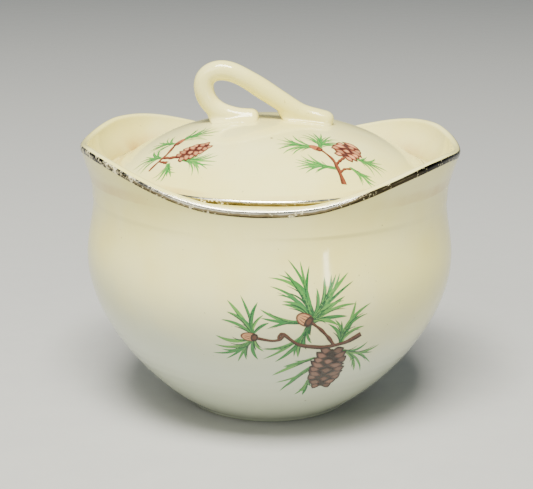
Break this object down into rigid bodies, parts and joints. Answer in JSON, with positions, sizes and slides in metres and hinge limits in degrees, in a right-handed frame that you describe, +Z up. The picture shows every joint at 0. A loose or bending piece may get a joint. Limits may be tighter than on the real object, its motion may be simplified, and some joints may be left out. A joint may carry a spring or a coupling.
{
  "type": "covered sugar bowl",
  "caption": "Round-bellied glazed ceramic sugar bowl with a winged, flared rim and a domed lid with a rolled loop handle, lifting straight off its inner ledge.",
  "frame": {"origin": "middle of the foot ring's flat underside, on the bowl's axis", "axes": "+Z up along the bowl's axis, +X towards one wing of the rim and along the lid handle, -Y towards the side with the low point of the rim that faces the viewer"},
  "size_m": [0.1124, 0.1102, 0.1031],
  "materials": {
    "cream_glaze": "glossy clear glaze over cream earthenware",
    "metal_lustre": "fired metal lustre, bright, worn in places"
  },
  "bodies": {
    "bowl": {"bowl": "cream_glaze", "rim_lustre_line": "metal_lustre"},
    "lid": {"lid": "cream_glaze", "lid_lustre_line": "metal_lustre", "lid_handle": "cream_glaze"}
  },
  "joints": [
    {"name": "lid_lift", "type": "slide", "parent": "bowl", "child": "lid", "axis": [0, 0, 1], "range_m": [0, 0.045]}
  ]
}
